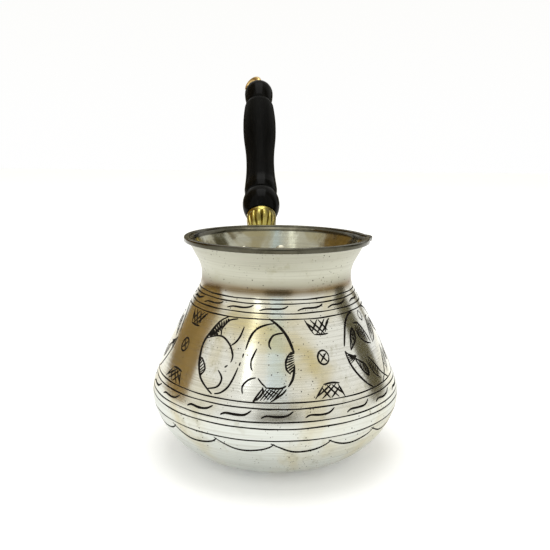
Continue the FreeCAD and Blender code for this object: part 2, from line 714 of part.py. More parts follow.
def make_grip():
    body = new_body("handle_grip")
    place_on_handle(body)
    sketch = new_sketch(body, "XZ_Plane", "GripSection")
    bore = size("rod_radius") + size("rod_clearance")
    pocket = size("hook_shank_radius") + size("tenon_clearance")
    seat = size("hook_seat")
    pocket_floor = size("hook_shank_end") - size("rod_clearance")
    sweep = size("long_sweep")
    waist = Vector(size("waist_radius") + sweep, size("waist_place"), 0)
    swell = Vector(size("swell_radius") - sweep, size("swell_place"), 0)
    ring_fall = size("ring_end") - waist.y
    ring_end = Vector(waist.x - math.sqrt(sweep ** 2 - ring_fall ** 2), size("ring_end"), 0)
    grip_end = Vector(size("grip_end_radius"), size("grip_end"), 0)
    shoulder = size("grip_shoulder")
    shoulder_centre = circles_meet(swell, sweep - shoulder, grip_end, shoulder, False)
    bulb = (size("bulb_swell") ** 2 + size("bulb_half") ** 2) / (2 * size("bulb_swell"))
    bulb_centre = Vector(size("bulb_radius") - bulb, size("bulb_half"), 0)
    bulb_top = Vector(bulb_centre.x + math.sqrt(bulb ** 2 - (size("bulb_end") - bulb_centre.y) ** 2),
                      size("bulb_end"), 0)
    ring_start = Vector(bulb_top.x, size("ring_start"), 0)
    ring_top = Vector(bulb_top.x + size("ring_swell"), size("ring_middle"), 0)
    ring = (size("ring_swell") ** 2 + size("ring_rise") ** 2) / (2 * size("ring_swell"))
    barrel = (size("ball_start_step") ** 2 + size("ball_low_half") ** 2) / (2 * size("ball_start_step"))

    shape = Outline(sketch, Vector(bore, -size("tenon_length"), 0))
    under = shape.line(Vector(size("tenon_radius"), -size("tenon_length"), 0))
    tenon = shape.line(Vector(size("tenon_radius"), 0, 0))
    foot = shape.line(Vector(size("bulb_foot_radius"), 0, 0))
    bulb_arc = shape.arc(bulb_centre, bulb_top, smooth=False)
    groove = Vector(bulb_top.x - size("groove_depth"), size("bulb_end") + size("groove_width") / 2, 0)
    dip = shape.line(groove)
    climb = shape.line(ring_start)
    ring_arc = shape.arc(ring_top - Vector(ring, 0, 0), ring_top, smooth=False)
    fall = shape.line(ring_end)
    waist_arc = shape.arc(waist, toward(waist, swell, sweep), clockwise=True, smooth=False)
    swell_arc = shape.arc(swell, toward(swell, shoulder_centre, sweep))
    shoulder_arc = shape.arc(shoulder_centre, grip_end)
    neck_in = shape.line(Vector(size("ball_neck_radius"), (size("grip_end") + size("ball_start")) / 2, 0))
    neck_out = shape.line(Vector(size("ball_start_radius"), size("ball_start"), 0))
    barrel_arc = shape.arc(Vector(size("ball_radius") - barrel, size("ball_middle"), 0),
                           Vector(size("ball_radius"), size("ball_middle"), 0), smooth=False)
    ball_arc = shape.arc(Vector(0, size("ball_middle"), 0), Vector(size("hook_seat_radius"), seat, 0))
    flat = shape.line(Vector(pocket, seat, 0))
    pocket_wall = shape.line(Vector(pocket, pocket_floor, 0))
    pocket_step = shape.line(Vector(bore, pocket_floor, 0))
    hole = shape.line(Vector(bore, -size("tenon_length"), 0))
    shape.close()

    shape.level(under, foot, flat, pocket_step)
    shape.upright(tenon, pocket_wall, hole)
    shape.across("bore", cell("rod_radius") + " + " + cell("rod_clearance"), under, 1)
    shape.up("tenon_end", "-" + cell("tenon_length"), under, 2)
    shape.across("tenon_radius", cell("tenon_radius"), tenon, 1)
    sketch.addConstraint(Sketcher.Constraint("PointOnObject", tenon, 2, -1))
    shape.across("bulb_foot", cell("bulb_foot_radius"), foot, 2)
    shape.radius("bulb_arc", "(" + cell("bulb_swell") + " ^ 2 + " + cell("bulb_half") + " ^ 2) / (2 * "
                 + cell("bulb_swell") + ")", bulb_arc)
    shape.up("bulb_half", cell("bulb_half"), bulb_arc, 3)
    shape.up("bulb_end", cell("bulb_end"), bulb_arc, 2)
    shape.measure("DistanceX", "groove_depth", cell("groove_depth"), size("groove_depth"), dip, 2, dip, 1)
    shape.up("groove_middle", cell("bulb_end") + " + " + cell("groove_width") + " / 2", dip, 2)
    sketch.addConstraint(Sketcher.Constraint("Equal", dip, climb))
    shape.up("ring_start", cell("ring_start"), climb, 2)
    swell = size("ring_swell")
    shape.measure("DistanceX", "ring_swell", cell("ring_swell"), swell, ring_arc, 1, ring_arc, 2)
    shape.up("ring_middle", cell("ring_middle"), ring_arc, 2)
    shape.up("ring_centre", cell("ring_middle"), ring_arc, 3)
    shape.radius("waist_arc", cell("long_sweep"), waist_arc)
    shape.across("waist_centre", cell("waist_radius") + " + " + cell("long_sweep"), waist_arc, 3)
    shape.up("waist_place", cell("waist_place"), waist_arc, 3)
    shape.up("ring_end", cell("ring_end"), fall, 2)
    shape.radius("swell_arc", cell("long_sweep"), swell_arc)
    shape.up("swell_place", cell("swell_place"), swell_arc, 3)
    shape.radius("grip_shoulder", cell("grip_shoulder"), shoulder_arc)
    shape.across("grip_end_radius", cell("grip_end_radius"), shoulder_arc, 2)
    shape.up("grip_end", cell("grip_end"), shoulder_arc, 2)
    shape.across("ball_neck", cell("ball_neck_radius"), neck_in, 2)
    shape.up("ball_neck_place", "(" + cell("grip_end") + " + " + cell("ball_start") + ") / 2", neck_in, 2)
    shape.across("ball_start_radius", cell("ball_start_radius"), neck_out, 2)
    shape.up("ball_start", cell("ball_start"), neck_out, 2)
    shape.up("barrel_level", cell("ball_middle"), barrel_arc, 3)
    shape.radius("ball_radius", cell("ball_radius"), ball_arc)
    shape.up("ball_middle", cell("ball_middle"), ball_arc, 3)
    sketch.addConstraint(Sketcher.Constraint("PointOnObject", ball_arc, 3, -2))
    shape.across("hook_seat_radius", cell("hook_seat_radius"), ball_arc, 2)
    shape.across("pocket", cell("hook_shank_radius") + " + " + cell("tenon_clearance"), flat, 2)
    shape.up("pocket_floor", cell("hook_shank_end") + " - "
             + cell("rod_clearance"), pocket_step, 1)
    turn(body, "Revolution", "GripTurned", sketch)
    return body


def make_rod():
    rod = doc.addObject("Part::Cylinder", "handle_rod")
    rod.Label = "handle_rod"
    rod.setExpression("Radius", cell("rod_radius"))
    reach = cell("hook_thread_end") + " - " + cell("rod_clearance")
    rod.setExpression("Height", reach + " + " + cell("cup_length")
                      + " + " + cell("rod_hold"))
    rod.Placement = Placement(on_handle(-size("cup_length") - size("rod_hold")),
                              Rotation(Vector(-1, 0, 0), 90 - size("handle_rise")))
    return rod


def make_hook():
    body = new_body("hanging_hook")
    place_on_handle(body)
    seat = size("hook_seat")
    low = size("hook_shank_end")
    thread = size("rod_radius") + size("fixing_clearance")
    thread_end = size("hook_thread_end")
    crown = seat + size("hook_flange_thickness")
    sketch = new_sketch(body, "XZ_Plane", "ShankSection")
    shape = Outline(sketch, Vector(thread, low, 0))
    under = shape.line(Vector(size("hook_shank_radius"), low, 0))
    shank = shape.line(Vector(size("hook_shank_radius"), seat, 0))
    flange = shape.line(Vector(size("hook_flange_radius"), seat, 0))
    edge = shape.line(Vector(size("hook_flange_radius"), seat + size("hook_flange_thickness") / 3, 0))
    dome = shape.line(Vector(size("hook_wire_radius"), crown, 0))
    top = shape.line(Vector(0, crown, 0))
    axis = shape.line(Vector(0, thread_end, 0))
    blind = shape.line(Vector(thread, thread_end, 0))
    bore = shape.line(Vector(thread, low, 0))
    shape.close()
    shape.level(under, flange, top, blind)
    shape.upright(shank, edge, axis, bore)
    shape.on_axis(axis, 1)
    shape.across("thread", cell("rod_radius") + " + " + cell("fixing_clearance"), under, 1)
    shape.across("shank_radius", cell("hook_shank_radius"), under, 2)
    shape.up("shank_end", cell("hook_shank_end"), under, 2)
    shape.up("seat", cell("hook_seat"), shank, 2)
    shape.across("flange_radius", cell("hook_flange_radius"), flange, 2)
    shape.up("flange_edge", cell("hook_seat") + " + " + cell("hook_flange_thickness") + " / 3", edge, 2)
    shape.across("stem_radius", cell("hook_wire_radius"), dome, 2)
    shape.up("crown", cell("hook_seat") + " + " + cell("hook_flange_thickness"), dome, 2)
    shape.up("thread_end", cell("hook_thread_end"), axis, 2)
    turn(body, "Revolution", "ShankTurned", sketch)

    # the hook bends over towards -X and under the handle
    swing = Placement(Vector(0, 0, 0), Rotation(Vector(0, -1, 0), size("hook_turn")))
    spine = new_sketch(body, "XZ_Plane", "HookLine", swing)
    spine.setExpression("AttachmentOffset.Rotation.Angle", cell("hook_turn") + " * 1 deg")
    bend = size("hook_bend")
    root = seat + size("hook_flange_thickness") / 3
    stem = crown + size("hook_stem") - size("hook_flange_thickness")
    path = Outline(spine, Vector(0, root, 0))
    rising = path.line(Vector(0, stem, 0))
    arc = path.arc(Vector(-bend, stem, 0), Vector(-2 * bend, stem, 0))
    path.upright(rising)
    path.on_axis(rising, 1)
    path.radius("hook_bend", cell("hook_bend"), arc)
    path.up("hook_root", cell("hook_seat") + " + " + cell("hook_flange_thickness") + " / 3", rising, 1)
    path.up("hook_stem", cell("hook_seat") + " + " + cell("hook_stem"), rising, 2)
    path.up("hook_end", cell("hook_seat") + " + " + cell("hook_stem"), arc, 2)

    section = new_sketch(body, "XY_Plane", "HookSection")
    section.setExpression("AttachmentOffset.Base.z", cell("hook_seat")
                          + " + " + cell("hook_flange_thickness")
                          + " / 3")
    circle = Part.Circle(Vector(0, 0, 0), Vector(0, 0, 1), size("hook_wire_radius"))
    ring = section.addGeometry(circle, False)
    section.addConstraint(Sketcher.Constraint("Coincident", ring, 3, -1, 1))
    shape = Outline(section, Vector(0, 0, 0))
    shape.radius("wire_radius", cell("hook_wire_radius"), ring)
    doc.recompute()
    wire = body.newObject("PartDesign::AdditivePipe", "HookWire")
    wire.Profile = (section, [""])
    wire.Spine = (spine, ["Edge1", "Edge2"])
    doc.recompute()

    tip = body.newObject("PartDesign::AdditiveSphere", "HookTip")
    tip.setExpression("Radius", cell("hook_wire_radius"))
    turned = Rotation(Vector(0, 0, 1), -size("hook_turn"))
    tip.Placement = Placement(turned.multVec(Vector(-2 * bend, 0, 0)) + Vector(0, 0, stem), Rotation())
    doc.recompute()
    return body


# ---------------------------------------------------------------- rivets

def cap_middle(base, rise):
    """The point half way along the arc of a dome, out from its axis and up from its base."""
    sweep = (base ** 2 + rise ** 2) / (2 * rise)
    half = math.asin(base / sweep) / 2
    return Vector(sweep * math.sin(half), 0, rise - sweep * (1 - math.cos(half)))


def rivet_blank():
    """One rivet about Z, its origin on the wall: shank, domed head and the peened inner end."""
    shank = size("rivet_radius")
    head = size("rivet_head_radius")
    dome = size("rivet_head_height")
    peen = shank + size("rivet_peen_rim")
    rise = size("rivet_peen_height")
    plate = size("plate_thickness")
    wall = size("wall")
    points = [
        Vector(0, 0, -wall - rise),
        Vector(peen, 0, -wall),
        Vector(peen, 0, -wall / 2),
        Vector(shank, 0, -wall / 2),
        Vector(shank, 0, plate / 2),
        Vector(head, 0, plate / 2),
        Vector(head, 0, plate),
        Vector(0, 0, plate + dome),
    ]
    cap = Vector(0, 0, plate) + cap_middle(head, dome)
    low = cap_middle(peen, rise)
    under = Vector(low.x, 0, -wall - low.z)
    edges = [Part.Arc(points[0], under, points[1]).toShape()]
    edges += [Part.LineSegment(*pair).toShape() for pair in zip(points[1:6], points[2:7])]
    edges.append(Part.Arc(points[6], cap, points[7]).toShape())
    edges.append(Part.LineSegment(points[7], points[0]).toShape())
    return Part.Face(Part.Wire(edges)).revolve(Vector(0, 0, 0), Vector(0, 0, 1), 360)


def make_rivets(pot, bracket):
    solids = []
    for place in rivet_places():
        blank = rivet_blank()
        blank.Placement = place
        fitted = blank.cut([bracket.Shape, pot.Shape])
        solids.append(max(fitted.Solids, key=lambda solid: solid.Volume))
    rivets = doc.addObject("Part::Feature", "bracket_rivets")
    rivets.Label = "bracket_rivets"
    rivets.Shape = Part.makeCompound(solids)
    return rivets


# ---------------------------------------------------------------- build, check and write

pot_body = make_pot()
handle_bracket = make_bracket()
pieces = [
    pot_body,
    handle_bracket,
    make_cup(),
    make_grip(),
    make_rod(),
    make_hook(),
    make_rivets(pot_body, handle_bracket),
]
doc.recompute()

for item in doc.Objects:
    if "Invalid" in item.State or "Error" in item.State:
        raise RuntimeError("%s failed: %s" % (item.Label, item.State))

os.makedirs("parts", exist_ok=True)
for piece in pieces:
    shape = piece.Shape
    if shape.isNull() or not shape.isValid():
        raise RuntimeError(piece.Label + " has no valid shape")
    box = shape.BoundBox
    print("%-16s %d solid(s) %9.1f mm3  x %.1f..%.1f  y %.1f..%.1f  z %.1f..%.1f" % (
        piece.Label, len(shape.Solids), shape.Volume,
        box.XMin, box.XMax, box.YMin, box.YMax, box.ZMin, box.ZMax))
    shape.exportStep("parts/" + piece.Label + ".step")
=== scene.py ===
import math
import random

import bmesh
import bpy
from mathutils import Matrix, Vector


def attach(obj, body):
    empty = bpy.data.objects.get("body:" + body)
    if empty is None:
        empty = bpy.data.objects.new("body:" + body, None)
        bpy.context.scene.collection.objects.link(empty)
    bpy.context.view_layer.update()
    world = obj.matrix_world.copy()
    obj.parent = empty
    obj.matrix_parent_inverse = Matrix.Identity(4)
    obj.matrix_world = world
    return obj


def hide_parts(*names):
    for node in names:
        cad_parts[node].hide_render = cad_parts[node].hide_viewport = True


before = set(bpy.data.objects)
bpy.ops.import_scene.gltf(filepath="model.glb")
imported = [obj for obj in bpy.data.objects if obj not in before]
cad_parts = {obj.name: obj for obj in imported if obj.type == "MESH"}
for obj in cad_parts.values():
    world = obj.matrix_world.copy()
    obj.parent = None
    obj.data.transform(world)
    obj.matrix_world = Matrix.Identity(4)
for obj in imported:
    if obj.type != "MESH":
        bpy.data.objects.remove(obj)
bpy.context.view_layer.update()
scene = bpy.context.scene
random.seed(7)
mm = 0.001


# maths on sockets, and one way to add any other node
class Sock:
    def __init__(self, tree, socket=None):
        self.tree = tree
        self.socket = socket

    def add(self, kind, settings=None, inputs=None, output=0):
        made = self.tree.nodes.new(kind)
        for name, value in (settings or {}).items():
            setattr(made, name, value)
        for name, value in (inputs or {}).items():
            if isinstance(value, Sock):
                self.tree.links.new(value.socket, made.inputs[name])
            else:
                made.inputs[name].default_value = value
        return Sock(self.tree, made.outputs[output])

    def maths(self, operation, *values):
        return self.add("ShaderNodeMath", {"operation": operation}, dict(enumerate(values)))

    def __add__(self, other):
        return self.maths("ADD", self, other)

    def __sub__(self, other):
        return self.maths("SUBTRACT", self, other)

    def __mul__(self, other):
        return self.maths("MULTIPLY", self, other)

    def __rsub__(self, other):
        return self.maths("SUBTRACT", other, self)

    def __lt__(self, other):
        return self.maths("LESS_THAN", self, other)

    __radd__ = __add__
    __rmul__ = __mul__

    def range(self, low, high, start=0.0, end=1.0):
        return self.add("ShaderNodeMapRange", {"interpolation_type": "SMOOTHSTEP"},
                        {"Value": self, "From Min": low, "From Max": high,
                         "To Min": start, "To Max": end})

    def blend(self, first, second):
        # self is the share of the second colour
        return self.add("ShaderNodeMix", {"data_type": "RGBA"}, {0: self, 6: first, 7: second}, 2)

    def place(self, scale, turn=(0, 0, 0), shift=(0, 0, 0)):
        return self.add("ShaderNodeMapping", None,
                        {"Vector": self, "Scale": scale, "Rotation": turn, "Location": shift})

    def noise(self, scale, detail=2.0, rough=0.5, warp=0.0):
        return self.add("ShaderNodeTexNoise", None,
                        {"Vector": self, "Scale": scale, "Detail": detail, "Roughness": rough,
                         "Distortion": warp})

    def cells(self, scale):
        return self.add("ShaderNodeTexVoronoi", None, {"Vector": self, "Scale": scale})

    def bump(self, height, distance, strength=1.0, under=None):
        inputs = {"Height": height, "Distance": distance, "Strength": strength}
        if under is not None:
            inputs["Normal"] = under
        return self.add("ShaderNodeBump", None, inputs)


def newMaterial(name, paint):
    # paint(where) gives the main shader's values and links; where is the object's own place
    made = bpy.data.materials.new(name)
    made.use_nodes = True
    tree = made.node_tree
    shader = tree.nodes["Principled BSDF"]
    where = Sock(tree).add("ShaderNodeTexCoord", None, None, 3)
    for socket, value in paint(where).items():
        if isinstance(value, Sock):
            tree.links.new(value.socket, shader.inputs[socket])
        else:
            shader.inputs[socket].default_value = value
    return made


def tone(red, green, blue):
    return (red, green, blue, 1)


tinLook = {
    "bright": tone(0.775, 0.775, 0.715),
    "warm": tone(0.58, 0.50, 0.27),
    "low": tone(0.69, 0.715, 0.675),
    # painted reflection: the darker band at the foot of the neck
    "neckFootReflection": tone(0.37, 0.355, 0.27),
    "neck": tone(0.54, 0.54, 0.45),
    # painted shade: the top of the neck under the turned-out lip
    "neckTopShade": tone(0.46, 0.455, 0.375),
    # painted reflection: the dark ring at the foot of the neck
    "footDarkReflection": tone(0.20, 0.14, 0.065),
    "brushed": tone(0.36, 0.34, 0.28),
    "dirt": tone(0.04, 0.036, 0.03),
    "grime": tone(0.10, 0.09, 0.06),
    "shadow": tone(0.34, 0.32, 0.20),
    "lowEdge": 22 * mm,
    "bandLow": 32 * mm,
    "bandHigh": 64.5 * mm,
    "neckLow": 66 * mm,
    "neckHigh": 71 * mm,
    "mouthLow": 70.5 * mm,
    "mouthHigh": 79 * mm,
    "polish": 0.16,
    "satin": 0.34,
}


def paintTin(where):
    up = where.add("ShaderNodeSeparateXYZ", None, {"Vector": where}, 2)
    patches = where.noise(34, 3, 0.55, 0.6)
    drift = where.place((14, 14, 11)).noise(3.2, 2, 0.5)
    brush = where.place((26, 26, 2400)).noise(1, 3, 0.6)
    fine = where.place((60, 60, 7000)).noise(1, 2, 0.6)
    specks = where.cells(430)
    low = up.range(tinLook["bandLow"] + 1 * mm, tinLook["lowEdge"])
    neck = up.range(tinLook["bandHigh"] - 1 * mm, tinLook["bandHigh"] + 3 * mm)
    engraved = (1 - low) * (1 - neck)
    warmth = patches.range(0.50, 0.66) * 0.62 + drift.range(0.46, 0.66) * 0.38
    base = warmth.blend(tinLook["bright"], tinLook["warm"])
    base = (low * (1 - warmth * 0.6)).blend(base, tinLook["low"])
    # painted reflection: the foot of the neck is darkened where the wall mirrors its dark surroundings
    base = neck.blend(base, tinLook["neckFootReflection"])
    base = up.range(tinLook["neckLow"], tinLook["neckHigh"]).blend(base, tinLook["neck"])
    # painted shade: the top of the neck is darkened under the lip
    base = (up.range(tinLook["mouthLow"], tinLook["mouthHigh"]) * 0.9).blend(base, tinLook["neckTopShade"])
    # painted reflection: a dark ring in the hollow at the foot of the neck stands in for the dark
    # surroundings that the wall mirrors there
    foot = up.range(62.6 * mm, 65.0 * mm) * up.range(67.6 * mm, 65.2 * mm)
    base = (foot * drift.range(0.2, 0.6, 0.6, 1.0)).blend(base, tinLook["footDarkReflection"])
    base = (brush.range(0.42, 0.75) * 0.42).blend(base, tinLook["brushed"])
    dirt = (specks < 0.1) * patches.range(0.40, 0.52)
    base = (dirt * 0.9).blend(base, tinLook["dirt"])
    grime = (where.cells(820) < 0.15) * where.noise(75, 3, 0.6).range(0.47, 0.58)
    base = (grime * 0.8).blend(base, tinLook["grime"])
    shadow = where.noise(260, 3, 0.7).range(0.5, 0.72) * where.noise(60, 2, 0.5).range(0.45, 0.62)
    base = (shadow * 0.45).blend(base, tinLook["shadow"])
    rough = tinLook["satin"] - engraved * (tinLook["satin"] - tinLook["polish"])
    rough = rough + (brush - 0.5) * 0.16 + patches.range(0.4, 0.75) * 0.09 + dirt * 0.3
    dents = where.noise(46, 1, 0.4)
    relief = where.bump(dents, 0.5 * mm, 0.32)
    relief = where.bump(brush, 0.05 * mm, 0.35, relief)
    relief = where.bump(fine, 0.02 * mm, 0.3, relief)
    return {"Base Color": base, "Metallic": 1.0, "Roughness": rough, "Normal": relief}


insideLook = {
    "tin": tone(0.46, 0.46, 0.38),
    "olive": tone(0.31, 0.275, 0.16),
    "stain": tone(0.11, 0.085, 0.045),
    "brushed": tone(0.24, 0.23, 0.19),
    "edge": tone(0.062, 0.058, 0.04),
    "edgeLow": 78.2 * mm,
    "edgeHigh": 78.8 * mm,
}


def paintInside(where):
    # the tinned inside and the folded edge: duller, with brown stains
    patches = where.noise(48, 3, 0.6, 1.2)
    brush = where.place((20, 20, 1500)).noise(1, 3, 0.6)
    stains = where.noise(150, 3, 0.65, 0.8)
    base = patches.range(0.35, 0.65).blend(insideLook["tin"], insideLook["olive"])
    base = (stains.range(0.55, 0.7) * 0.7).blend(base, insideLook["stain"])
    base = (brush.range(0.4, 0.75) * 0.3).blend(base, insideLook["brushed"])
    # the folded edge is rubbed dark
    up = where.add("ShaderNodeSeparateXYZ", None, {"Vector": where}, 2)
    edge = up.range(insideLook["edgeLow"], insideLook["edgeHigh"])
    base = (edge * stains.range(0.25, 0.6, 0.88, 0.97)).blend(base, insideLook["edge"])
    relief = where.bump(patches, 0.6 * mm, 0.35)
    relief = where.bump(brush, 0.05 * mm, 0.4, relief)
    return {"Base Color": base, "Metallic": 1.0, "Roughness": 0.16 + stains.range(0.4, 0.7) * 0.16,
            "Normal": relief}


def paintPatina(where):
    grain = where.noise(900, 2, 0.6)
    base = grain.range(0.35, 0.7).blend(tone(0.006, 0.005, 0.004), tone(0.020, 0.017, 0.013))
    return {"Base Color": base, "Metallic": 0.0, "Roughness": grain.range(0.3, 0.7, 0.55, 0.8),
            "Specular IOR Level": 0.04}


def brassPaint(bright, dull, polish, wear):
    def paint(where):
        patches = where.noise(120, 3, 0.6, 0.4)
        spots = where.noise(520, 2, 0.6)
        share = patches.range(0.4, 0.66) * wear
        base = share.blend(bright, dull)
        base = (spots.range(0.62, 0.72) * wear).blend(base, tone(0.20, 0.125, 0.045))
        rough = polish + share * 0.22 + spots.range(0.5, 0.8) * 0.12
        relief = where.bump(patches, 0.12 * mm, 0.35)
        relief = where.bump(spots, 0.03 * mm, 0.4, relief)
        return {"Base Color": base, "Metallic": 1.0, "Roughness": rough, "Normal": relief}
    return paint


copperLook = {
    "bright": tone(0.72, 0.36, 0.20),
    "dull": tone(0.40, 0.19, 0.10),
    "tinned": tone(0.40, 0.385, 0.30),
    "tinnedWithin": 27.6 * mm,
}


def paintCopper(where):
    # the ends inside the pot are tinned over with the wall
    patches = where.noise(260, 3, 0.6)
    flat = where.place((1, 1, 0))
    inside = flat.add("ShaderNodeVectorMath", {"operation": "LENGTH"}, {0: flat}, 1)
    inside = inside < copperLook["tinnedWithin"]
    base = patches.range(0.35, 0.7).blend(copperLook["bright"], copperLook["dull"])
    base = inside.blend(base, copperLook["tinned"])
    return {"Base Color": base, "Metallic": 1.0, "Roughness": patches.range(0.3, 0.75, 0.24, 0.46),
            "Normal": where.bump(patches, 0.10 * mm, 0.6)}


def paintSteel(where):
    brush = where.place((900, 900, 60)).noise(1, 2, 0.5)
    base = brush.range(0.3, 0.7).blend(tone(0.52, 0.52, 0.53), tone(0.38, 0.38, 0.39))
    return {"Base Color": base, "Metallic": 1.0, "Roughness": brush.range(0.3, 0.7, 0.28, 0.42),
            "Normal": where.bump(brush, 0.03 * mm, 0.3)}


# the line that the handle's pieces are turned about
handle = {
    "foot": Vector((-4.4, 49.6, 83.1)) * mm,
    "rise": math.radians(42),
}
woodLook = {
    "black": tone(0.0016, 0.0016, 0.0013),
    "grain": tone(0.0036, 0.0034, 0.0028),
    "worn": tone(0.0070, 0.0064, 0.0052),
    "glossyUpTo": 20 * mm,
    "glossyFrom": 73 * mm,
}


def paintWood(where):
    # along is the distance up the handle from the brass cup
    rise = handle["rise"]
    axis = Vector((0, math.cos(rise), math.sin(rise)))
    along = where.add("ShaderNodeVectorMath", {"operation": "DOT_PRODUCT"}, {0: where, 1: axis}, 1)
    along = along - handle["foot"].dot(axis)
    lying = where.place((1, 1, 1), (-rise, 0, 0))
    grain = lying.place((900, 60, 900)).noise(1, 3, 0.6, 0.3)
    pores = lying.place((2600, 150, 2600)).noise(1, 2, 0.5)
    wear = where.noise(85, 3, 0.6)
    shiny = along.range(woodLook["glossyUpTo"] + 0.001, woodLook["glossyUpTo"] - 0.003) \
        + along.range(woodLook["glossyFrom"] - 0.002, woodLook["glossyFrom"] + 0.002)
    base = grain.range(0.3, 0.72).blend(woodLook["black"], woodLook["grain"])
    base = (wear.range(0.58, 0.75) * 0.5).blend(base, woodLook["worn"])
    rough = 0.42 - shiny * 0.2 + wear.range(0.4, 0.7) * 0.08
    relief = where.bump(grain, 0.06 * mm, 0.35)
    relief = where.bump(pores, 0.03 * mm, 0.3, relief)
    return {"Base Color": base, "Roughness": rough, "Normal": relief, "Specular IOR Level": 0.015,
            "Coat Weight": shiny * 0.06, "Coat Roughness": 0.14}


brassLook = {
    "cast": (tone(0.78, 0.56, 0.24), tone(0.50, 0.34, 0.14), 0.26, 0.6),
    "polished": (tone(0.43, 0.36, 0.10), tone(0.17, 0.135, 0.035), 0.10, 0.95),
    "aged": (tone(0.66, 0.47, 0.19), tone(0.36, 0.24, 0.09), 0.30, 0.8),
}
finishes = {
    "tin": newMaterial("tinned_copper", paintTin),
    "inside": newMaterial("tinned_inside", paintInside),
    "patina": newMaterial("black_patina", paintPatina),
    "cast": newMaterial("cast_brass", brassPaint(*brassLook["cast"])),
    "polished": newMaterial("polished_brass", brassPaint(*brassLook["polished"])),
    "aged": newMaterial("aged_brass", brassPaint(*brassLook["aged"])),
    "copper": newMaterial("rivet_copper", paintCopper),
    "steel": newMaterial("rod_steel", paintSteel),
    "wood": newMaterial("lacquered_wood", paintWood),
}
print("finishes ready")


def arcPoints(centre, radius, start, end, steps):
    # points of an arc about centre, from the direction of start to the direction of end, start left out
    first = math.atan2(start[1] - centre[1], start[0] - centre[0])
    last = math.atan2(end[1] - centre[1], end[0] - centre[0])
    turn = (last - first + math.pi) % (2 * math.pi) - math.pi
    places = [first + turn * step / steps for step in range(1, steps + 1)]
    return [(centre[0] + radius * math.cos(place), centre[1] + radius * math.sin(place))
            for place in places]


def spun(outline, segments):
    # outline is (radius, height) points; the result is turned about Z and closed at the poles
    bm = bmesh.new()
    points = [bm.verts.new((radius, 0, height)) for radius, height in outline]
    edges = [bm.edges.new(pair) for pair in zip(points, points[1:])]
    if outline[0][0] > 1e-6 and outline[-1][0] > 1e-6:
        edges.append(bm.edges.new((points[-1], points[0])))
    bmesh.ops.spin(bm, geom=points + edges, cent=(0, 0, 0), axis=(0, 0, 1), angle=2 * math.pi,
                   steps=segments, use_merge=True)
    bmesh.ops.remove_doubles(bm, verts=bm.verts, dist=1e-6)
    bmesh.ops.recalc_face_normals(bm, faces=bm.faces)
    return bm


def newPiece(name, bm, materials, smooth=True):
    mesh = bpy.data.meshes.new(name)
    bm.to_mesh(mesh)
    bm.free()
    for finish in materials:
        mesh.materials.append(finishes[finish])
    if smooth:
        mesh.shade_smooth()
    piece = bpy.data.objects.new(name, mesh)
    scene.collection.objects.link(piece)
    return piece


def evaluatedMesh(piece):
    graph = bpy.context.evaluated_depsgraph_get()
    return bpy.data.meshes.new_from_object(piece.evaluated_get(graph), depsgraph=graph)


# the pot: wall, folded lip and spout
pot = {
    "height": 80.7 * mm,
    "wall": 1.2 * mm,
    "base": 24 * mm,
    "belly": 46 * mm,
    "bellyHeight": 23.3 * mm,
    "bottomArc": 27.5 * mm,
    "heelArc": 15 * mm,
    "bellyArc": 15.5 * mm,
    "shoulderArc": 230 * mm,
    "neck": 27.5 * mm,
    "neckHeight": 67 * mm,
    "neckArc": 11.5 * mm,
    "flare": math.radians(28),
    "lipHeight": 1.9 * mm,
    "lipWidth": 2.0 * mm,
    "lipProud": 0.75 * mm,
    "segments": 256,
}
spout = {
    "depth": 10.6 * mm,
    "lean": math.radians(13),
    "flank": math.radians(23),
    "soften": 0.9 * mm,
}


def crossing(centreA, radiusA, centreB, radiusB, left):
    way = Vector(centreB) - Vector(centreA)
    along = (radiusA ** 2 - radiusB ** 2 + way.length_squared) / (2 * way.length)
    aside = math.sqrt(radiusA ** 2 - along ** 2)
    way.normalize()
    side = Vector((-way.y, way.x))
    return Vector(centreA) + way * along + side * (aside if left else -aside)


def wallOutline(inset, shares):
    # from the foot to the flare, moved in by inset; shares are the points on each arc
    heel = Vector((pot["belly"] - pot["heelArc"], pot["bellyHeight"]))
    belly = Vector((pot["belly"] - pot["bellyArc"], pot["bellyHeight"]))
    neck = Vector((pot["neck"] + pot["neckArc"], pot["neckHeight"]))
    foot = Vector((pot["base"] - inset, inset))
    bottomArc = pot["bottomArc"] - inset
    heelArc = pot["heelArc"] - inset
    bellyArc = pot["bellyArc"] - inset
    shoulderArc = pot["shoulderArc"] - inset
    neckArc = pot["neckArc"] + inset
    bottom = crossing(heel, bottomArc - heelArc, foot, bottomArc, False)
    shoulder = crossing(belly, shoulderArc - bellyArc, neck, shoulderArc + neckArc, True)
    bottomEnd = bottom + (heel - bottom).normalized() * bottomArc
    heelEnd = Vector((pot["belly"] - inset, pot["bellyHeight"]))
    bellyEnd = shoulder + (belly - shoulder).normalized() * shoulderArc
    shoulderEnd = shoulder + (neck - shoulder).normalized() * shoulderArc
    flareStart = neck + Vector((-math.cos(pot["flare"]), math.sin(pot["flare"]))) * neckArc
    points = [tuple(foot)]
    points += arcPoints(bottom, bottomArc, foot, bottomEnd, shares[0])
    points += arcPoints(heel, heelArc, bottomEnd, heelEnd, shares[1])
    points += arcPoints(belly, bellyArc, heelEnd, bellyEnd, shares[2])
    points += arcPoints(shoulder, shoulderArc, bellyEnd, shoulderEnd, shares[3])
    points += arcPoints(neck, neckArc, shoulderEnd, flareStart, shares[4])
    return points


def upFlare(start, top, steps):
    return [(start[0] + (top - start[1]) * step / steps * math.tan(pot["flare"]),
             start[1] + (top - start[1]) * step / steps) for step in range(1, steps + 1)]


outer = wallOutline(0, (8, 8, 8, 26, 12))
outer += upFlare(outer[-1], pot["height"], 6)
mouth = outer[-1][0]
travel = [0.0]
for near, far in zip(outer, outer[1:]):
    travel.append(travel[-1] + math.hypot(far[0] - near[0], far[1] - near[1]))


